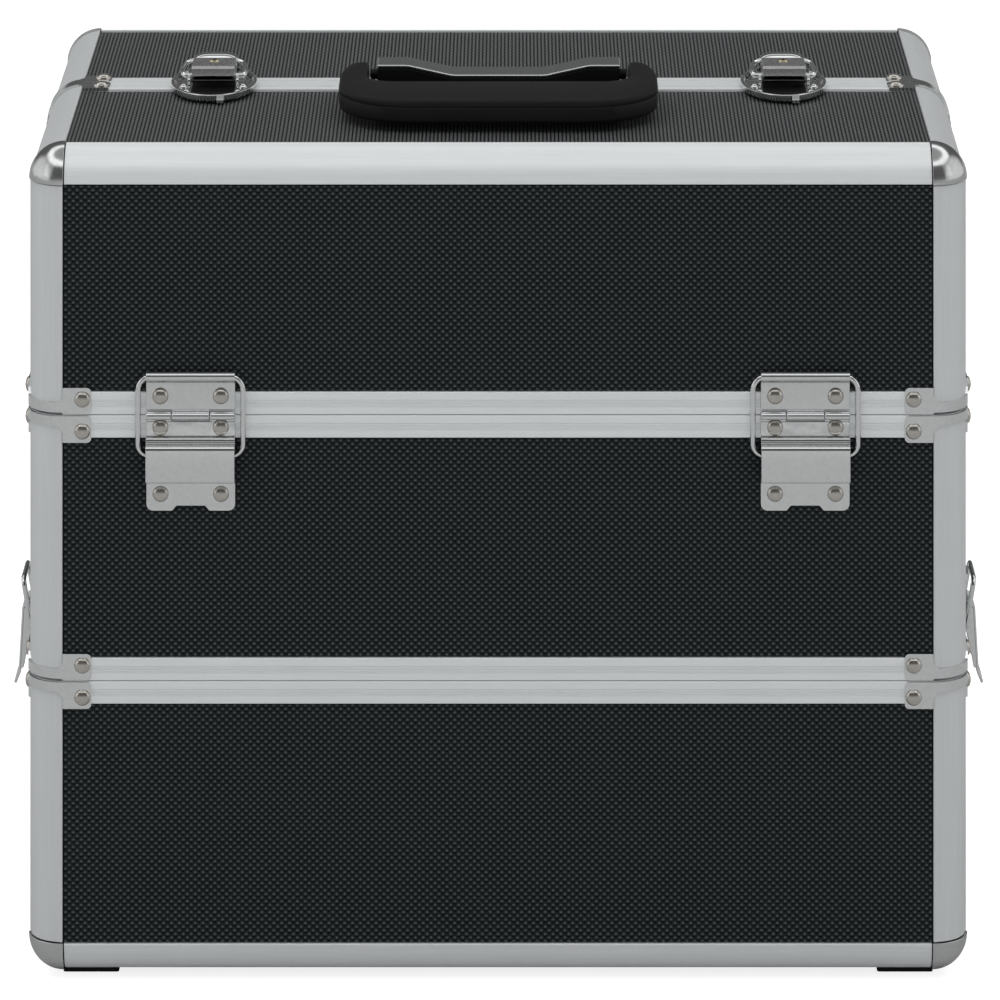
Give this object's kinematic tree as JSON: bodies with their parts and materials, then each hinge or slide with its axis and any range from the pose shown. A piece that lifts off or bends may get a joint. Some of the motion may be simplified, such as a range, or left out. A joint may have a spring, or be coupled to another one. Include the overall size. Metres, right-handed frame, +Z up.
{
  "type": "makeup train case",
  "caption": "Three-level beauty case: black dimpled boards in aluminium profiles, double-opening lid on ringed hinges, draw latches, folding handle and swing-out trays.",
  "frame": {"origin": "centre of the footprint at the underside of the feet", "axes": "+Z up, the front with the folded handle faces -Y, +X to the right seen from the front"},
  "size_m": [0.3992, 0.2444, 0.3426],
  "materials": {
    "aluminium_profile": "satin extruded profile with ridged rims and polished corner fittings",
    "dimpled_board": "black faced board pressed with a fine staggered dimple pattern",
    "floor_board": "black lined board",
    "chromed_steel": "bright plated pressings and wire",
    "tray_plastic": "black lined tray",
    "handle_plastic": "black moulded plastic",
    "rubber_foot": "black moulded rubber"
  },
  "bodies": {
    "bottom_case": {"bottom_frame": "aluminium_profile", "bottom_walls": "dimpled_board", "bottom_floor": "floor_board", "foot_front_left": "rubber_foot", "foot_front_right": "rubber_foot", "foot_rear_left": "rubber_foot", "foot_rear_right": "rubber_foot", "left_side_latch_base": "chromed_steel", "right_side_latch_base": "chromed_steel"},
    "middle_case": {"middle_frame": "aluminium_profile", "middle_walls": "dimpled_board", "middle_floor": "floor_board", "front_left_hinge_lower_leaf": "chromed_steel", "front_right_hinge_lower_leaf": "chromed_steel", "rear_left_hinge_lower_leaf": "chromed_steel", "rear_right_hinge_lower_leaf": "chromed_steel", "left_side_latch_keeper": "chromed_steel", "right_side_latch_keeper": "chromed_steel"},
    "front_lid": {"front_lid_frame": "aluminium_profile", "front_lid_face_board": "dimpled_board", "front_lid_top_board": "dimpled_board", "front_lid_right_board": "dimpled_board", "front_lid_left_board": "dimpled_board", "front_left_hinge_upper_leaf": "chromed_steel", "front_right_hinge_upper_leaf": "chromed_steel", "left_top_latch_base": "chromed_steel", "right_top_latch_base": "chromed_steel", "handle_base": "handle_plastic", "handle_cover": "chromed_steel"},
    "rear_lid": {"rear_lid_frame": "aluminium_profile", "rear_lid_face_board": "dimpled_board", "rear_lid_top_board": "dimpled_board", "rear_lid_right_board": "dimpled_board", "rear_lid_left_board": "dimpled_board", "rear_left_hinge_upper_leaf": "chromed_steel", "rear_right_hinge_upper_leaf": "chromed_steel", "left_top_latch_keeper": "chromed_steel", "right_top_latch_keeper": "chromed_steel"},
    "front_left_ring": {"front_left_hinge_ring": "chromed_steel"},
    "front_right_ring": {"front_right_hinge_ring": "chromed_steel"},
    "front_arms": {"front_left_tray_arm": "chromed_steel", "front_right_tray_arm": "chromed_steel"},
    "front_lower_tray": {"front_lower_tray": "tray_plastic"},
    "front_upper_tray": {"front_upper_tray": "tray_plastic"},
    "rear_left_ring": {"rear_left_hinge_ring": "chromed_steel"},
    "rear_right_ring": {"rear_right_hinge_ring": "chromed_steel"},
    "rear_arms": {"rear_left_tray_arm": "chromed_steel", "rear_right_tray_arm": "chromed_steel"},
    "rear_lower_tray": {"rear_lower_tray": "tray_plastic"},
    "rear_upper_tray": {"rear_upper_tray": "tray_plastic"},
    "left_top_lever": {"left_top_latch_lever": "chromed_steel"},
    "left_top_bail": {"left_top_latch_bail": "chromed_steel"},
    "left_side_lever": {"left_side_latch_lever": "chromed_steel"},
    "left_side_bail": {"left_side_latch_bail": "chromed_steel"},
    "right_top_lever": {"right_top_latch_lever": "chromed_steel"},
    "right_top_bail": {"right_top_latch_bail": "chromed_steel"},
    "right_side_lever": {"right_side_latch_lever": "chromed_steel"},
    "right_side_bail": {"right_side_latch_bail": "chromed_steel"},
    "grip": {"handle_grip": "handle_plastic"}
  },
  "joints": [
    {"name": "middle_lift", "type": "slide", "parent": "bottom_case", "child": "middle_case", "axis": [0, 0, 1], "range_m": [0, 0.15]},
    {"name": "front_lid_hinge", "type": "hinge", "parent": "middle_case", "child": "front_lid", "pos_m": [0, -0.1184, 0.2248], "axis": [1, 0, 0], "range_deg": [0, 80]},
    {"name": "rear_lid_hinge", "type": "hinge", "parent": "middle_case", "child": "rear_lid", "pos_m": [0, 0.1184, 0.2248], "axis": [-1, 0, 0], "range_deg": [0, 80]},
    {"name": "front_left_ring_pivot", "type": "hinge", "parent": "front_lid", "child": "front_left_ring", "pos_m": [-0.121, -0.1178, 0.2406], "axis": [1, 0, 0], "range_deg": [-50, 0]},
    {"name": "front_right_ring_pivot", "type": "hinge", "parent": "front_lid", "child": "front_right_ring", "pos_m": [0.121, -0.1178, 0.2406], "axis": [1, 0, 0], "range_deg": [-50, 0]},
    {"name": "front_arm_pivot", "type": "hinge", "parent": "middle_case", "child": "front_arms", "pos_m": [0, -0.0937, 0.2113], "axis": [1, 0, 0], "range_deg": [0, 57.6]},
    {"name": "front_lower_tray_pivot", "type": "hinge", "parent": "front_arms", "child": "front_lower_tray", "pos_m": [0, -0.06761, 0.24434], "axis": [1, 0, 0], "range_deg": [-57.6, 0]},
    {"name": "front_upper_tray_pivot", "type": "hinge", "parent": "front_arms", "child": "front_upper_tray", "pos_m": [0, -0.04089, 0.27816], "axis": [1, 0, 0], "range_deg": [-57.6, 0]},
    {"name": "rear_left_ring_pivot", "type": "hinge", "parent": "rear_lid", "child": "rear_left_ring", "pos_m": [-0.121, 0.1178, 0.2406], "axis": [-1, 0, 0], "range_deg": [-50, 0]},
    {"name": "rear_right_ring_pivot", "type": "hinge", "parent": "rear_lid", "child": "rear_right_ring", "pos_m": [0.121, 0.1178, 0.2406], "axis": [-1, 0, 0], "range_deg": [-50, 0]},
    {"name": "rear_arm_pivot", "type": "hinge", "parent": "middle_case", "child": "rear_arms", "pos_m": [0, 0.0937, 0.2113], "axis": [-1, 0, 0], "range_deg": [0, 57.6]},
    {"name": "rear_lower_tray_pivot", "type": "hinge", "parent": "rear_arms", "child": "rear_lower_tray", "pos_m": [0, 0.06761, 0.24434], "axis": [-1, 0, 0], "range_deg": [-57.6, 0]},
    {"name": "rear_upper_tray_pivot", "type": "hinge", "parent": "rear_arms", "child": "rear_upper_tray", "pos_m": [0, 0.04089, 0.27816], "axis": [-1, 0, 0], "range_deg": [-57.6, 0]},
    {"name": "left_top_lever_pivot", "type": "hinge", "parent": "front_lid", "child": "left_top_lever", "pos_m": [-0.1173, -0.0125, 0.3338], "axis": [1, 0, 0], "range_deg": [0, 75]},
    {"name": "left_top_bail_pivot", "type": "hinge", "parent": "left_top_lever", "child": "left_top_bail", "pos_m": [-0.1173, -0.008, 0.3343], "axis": [1, 0, 0], "range_deg": [-75, 0]},
    {"name": "left_side_lever_pivot", "type": "hinge", "parent": "bottom_case", "child": "left_side_lever", "pos_m": [-0.1905, 0, 0.1165], "axis": [0, 1, 0], "range_deg": [0, 100]},
    {"name": "left_side_bail_pivot", "type": "hinge", "parent": "left_side_lever", "child": "left_side_bail", "pos_m": [-0.192, 0, 0.108], "axis": [0, 1, 0], "range_deg": [-100, 0]},
    {"name": "right_top_lever_pivot", "type": "hinge", "parent": "front_lid", "child": "right_top_lever", "pos_m": [0.1173, -0.0125, 0.3338], "axis": [1, 0, 0], "range_deg": [0, 75]},
    {"name": "right_top_bail_pivot", "type": "hinge", "parent": "right_top_lever", "child": "right_top_bail", "pos_m": [0.1173, -0.008, 0.3343], "axis": [1, 0, 0], "range_deg": [-75, 0]},
    {"name": "right_side_lever_pivot", "type": "hinge", "parent": "bottom_case", "child": "right_side_lever", "pos_m": [0.1905, 0, 0.1165], "axis": [0, -1, 0], "range_deg": [0, 100]},
    {"name": "right_side_bail_pivot", "type": "hinge", "parent": "right_side_lever", "child": "right_side_bail", "pos_m": [0.192, 0, 0.108], "axis": [0, -1, 0], "range_deg": [-100, 0]},
    {"name": "handle_pivot", "type": "hinge", "parent": "front_lid", "child": "grip", "pos_m": [0, -0.0175, 0.337], "axis": [-1, 0, 0], "range_deg": [0, 95]}
  ],
  "couplings": [
    {"joint": "front_left_ring_pivot", "follows": "front_lid_hinge", "ratio": -0.625},
    {"joint": "front_right_ring_pivot", "follows": "front_lid_hinge", "ratio": -0.625},
    {"joint": "front_arm_pivot", "follows": "front_lid_hinge", "ratio": 0.72},
    {"joint": "front_lower_tray_pivot", "follows": "front_lid_hinge", "ratio": -0.72},
    {"joint": "front_upper_tray_pivot", "follows": "front_lid_hinge", "ratio": -0.72},
    {"joint": "rear_left_ring_pivot", "follows": "rear_lid_hinge", "ratio": -0.625},
    {"joint": "rear_right_ring_pivot", "follows": "rear_lid_hinge", "ratio": -0.625},
    {"joint": "rear_arm_pivot", "follows": "rear_lid_hinge", "ratio": 0.72},
    {"joint": "rear_lower_tray_pivot", "follows": "rear_lid_hinge", "ratio": -0.72},
    {"joint": "rear_upper_tray_pivot", "follows": "rear_lid_hinge", "ratio": -0.72},
    {"joint": "left_top_bail_pivot", "follows": "left_top_lever_pivot", "ratio": -1},
    {"joint": "left_side_bail_pivot", "follows": "left_side_lever_pivot", "ratio": -1},
    {"joint": "right_top_bail_pivot", "follows": "right_top_lever_pivot", "ratio": -1},
    {"joint": "right_side_bail_pivot", "follows": "right_side_lever_pivot", "ratio": -1}
  ]
}
